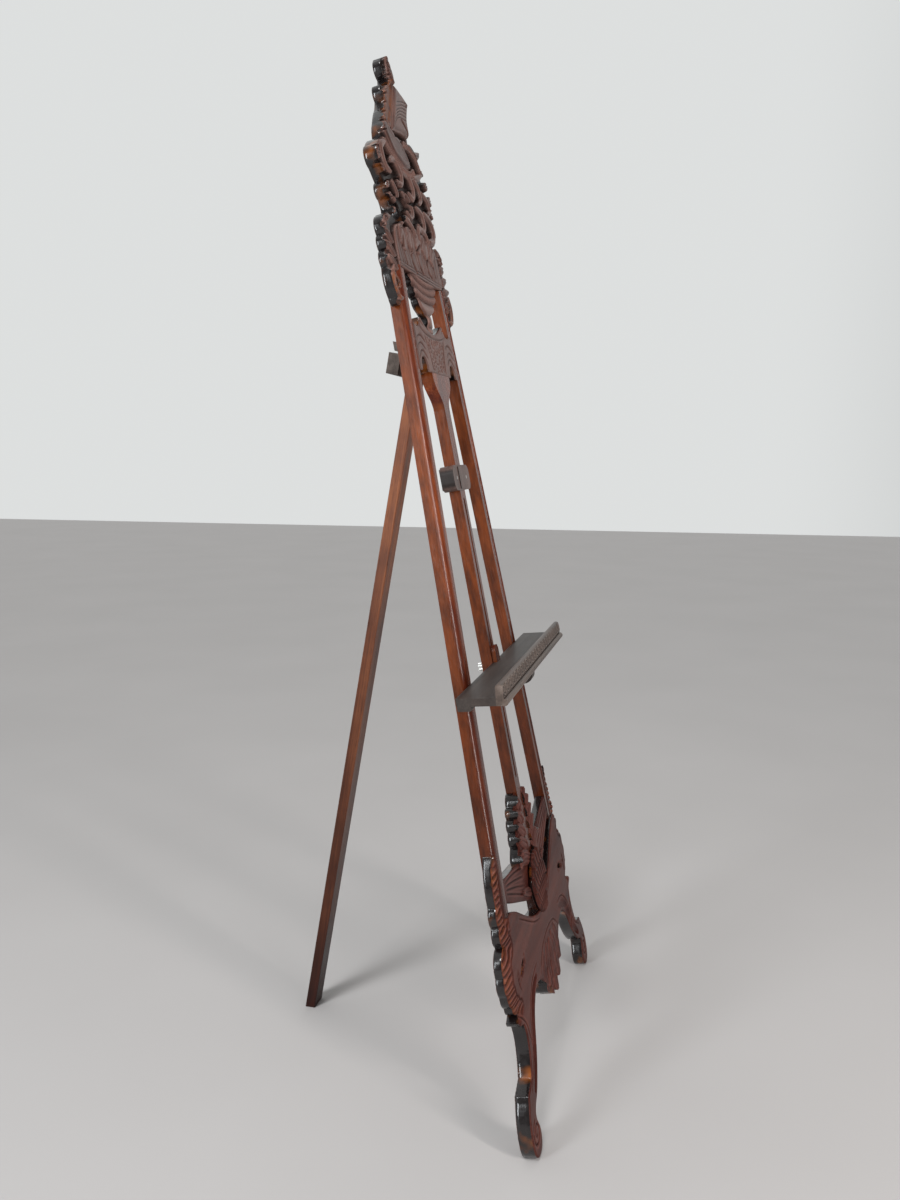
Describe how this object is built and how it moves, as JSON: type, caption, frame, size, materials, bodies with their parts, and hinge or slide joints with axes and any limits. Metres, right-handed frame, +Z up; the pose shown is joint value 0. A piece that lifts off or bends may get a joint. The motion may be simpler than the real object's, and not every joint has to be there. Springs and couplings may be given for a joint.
{
  "type": "display easel",
  "caption": "Floor-standing carved wooden display easel: leaning railed frame on scroll legs, sliding picture shelf and holder on a slotted centre rail, hinged rear leg.",
  "frame": {"origin": "on the floor, midway between the outermost points in X and in Y", "axes": "+X to the right of someone facing the easel, +Y towards its back, +Z up"},
  "size_m": [0.74, 0.5948, 2.0132],
  "materials": {
    "rails": "gloss red-brown lacquer over amber wood",
    "base": "satin dark red-brown lacquer",
    "crest": "semi-gloss brown mahogany",
    "rear_leg": "semi-gloss orange-brown lacquer",
    "hinge_blocks": "bare grey-brown end grain and stained faces",
    "shelf": "matt grey-brown",
    "holder": "satin dark brown",
    "pegs": "plain beech",
    "hinges": "dull",
    "screws": "zinc plated",
    "bolt": "zinc plated",
    "nut": "cast, satin"
  },
  "bodies": {
    "frame": {"base_dowels": "pegs", "crest_dowels": "pegs", "seam_dowels": "pegs", "centre_rail": "rails", "left_scroll_leg": "base", "right_scroll_leg": "base", "apron_board": "base", "left_swag_bracket": "base", "right_swag_bracket": "base", "palmette": "base", "crest_board": "crest", "left_ear": "crest", "right_ear": "crest", "crest_pendant": "crest", "shield_panel": "crest", "fixed_leaf_screws": "screws", "hinge_fixed_leaves": "hinges", "hinge_pins": "hinges", "batten_screws": "screws", "left_rail": "rails", "right_rail": "rails", "hinge_batten": "hinge_blocks"},
    "back_leg": {"hinge_moving_leaves": "hinges", "moving_leaf_screws": "screws", "leg_crossbar": "hinge_blocks", "rear_leg": "rear_leg", "tenon_peg": "pegs"},
    "shelf": {"shelf_board": "shelf", "shelf_lip": "shelf", "shelf_batten": "shelf", "shelf_corbel": "shelf", "shelf_screws": "screws", "shelf_tongue": "rails", "shelf_bolt": "bolt", "shelf_washer": "bolt"},
    "nut": {"thumb_nut": "nut"},
    "holder": {"picture_holder": "holder", "holder_back_plate": "holder", "holder_screws": "screws"}
  },
  "joints": [
    {"name": "leg_fold", "type": "hinge", "parent": "frame", "child": "back_leg", "pos_m": [0, 0.01167, 1.42388], "axis": [1, 0, 0], "range_deg": [-20, 0]},
    {"name": "shelf_slide", "type": "slide", "parent": "frame", "child": "shelf", "axis": [0, 0.1934, 0.9811], "range_m": [-0.2, 0.18]},
    {"name": "nut_turn", "type": "hinge", "parent": "shelf", "child": "nut", "pos_m": [0, -0.13303, 0.81384], "axis": [0, 0.9811, -0.1934], "continuous": true},
    {"name": "holder_slide", "type": "slide", "parent": "frame", "child": "holder", "axis": [0, 0.1934, 0.9811], "range_m": [-0.1, 0.1]}
  ]
}
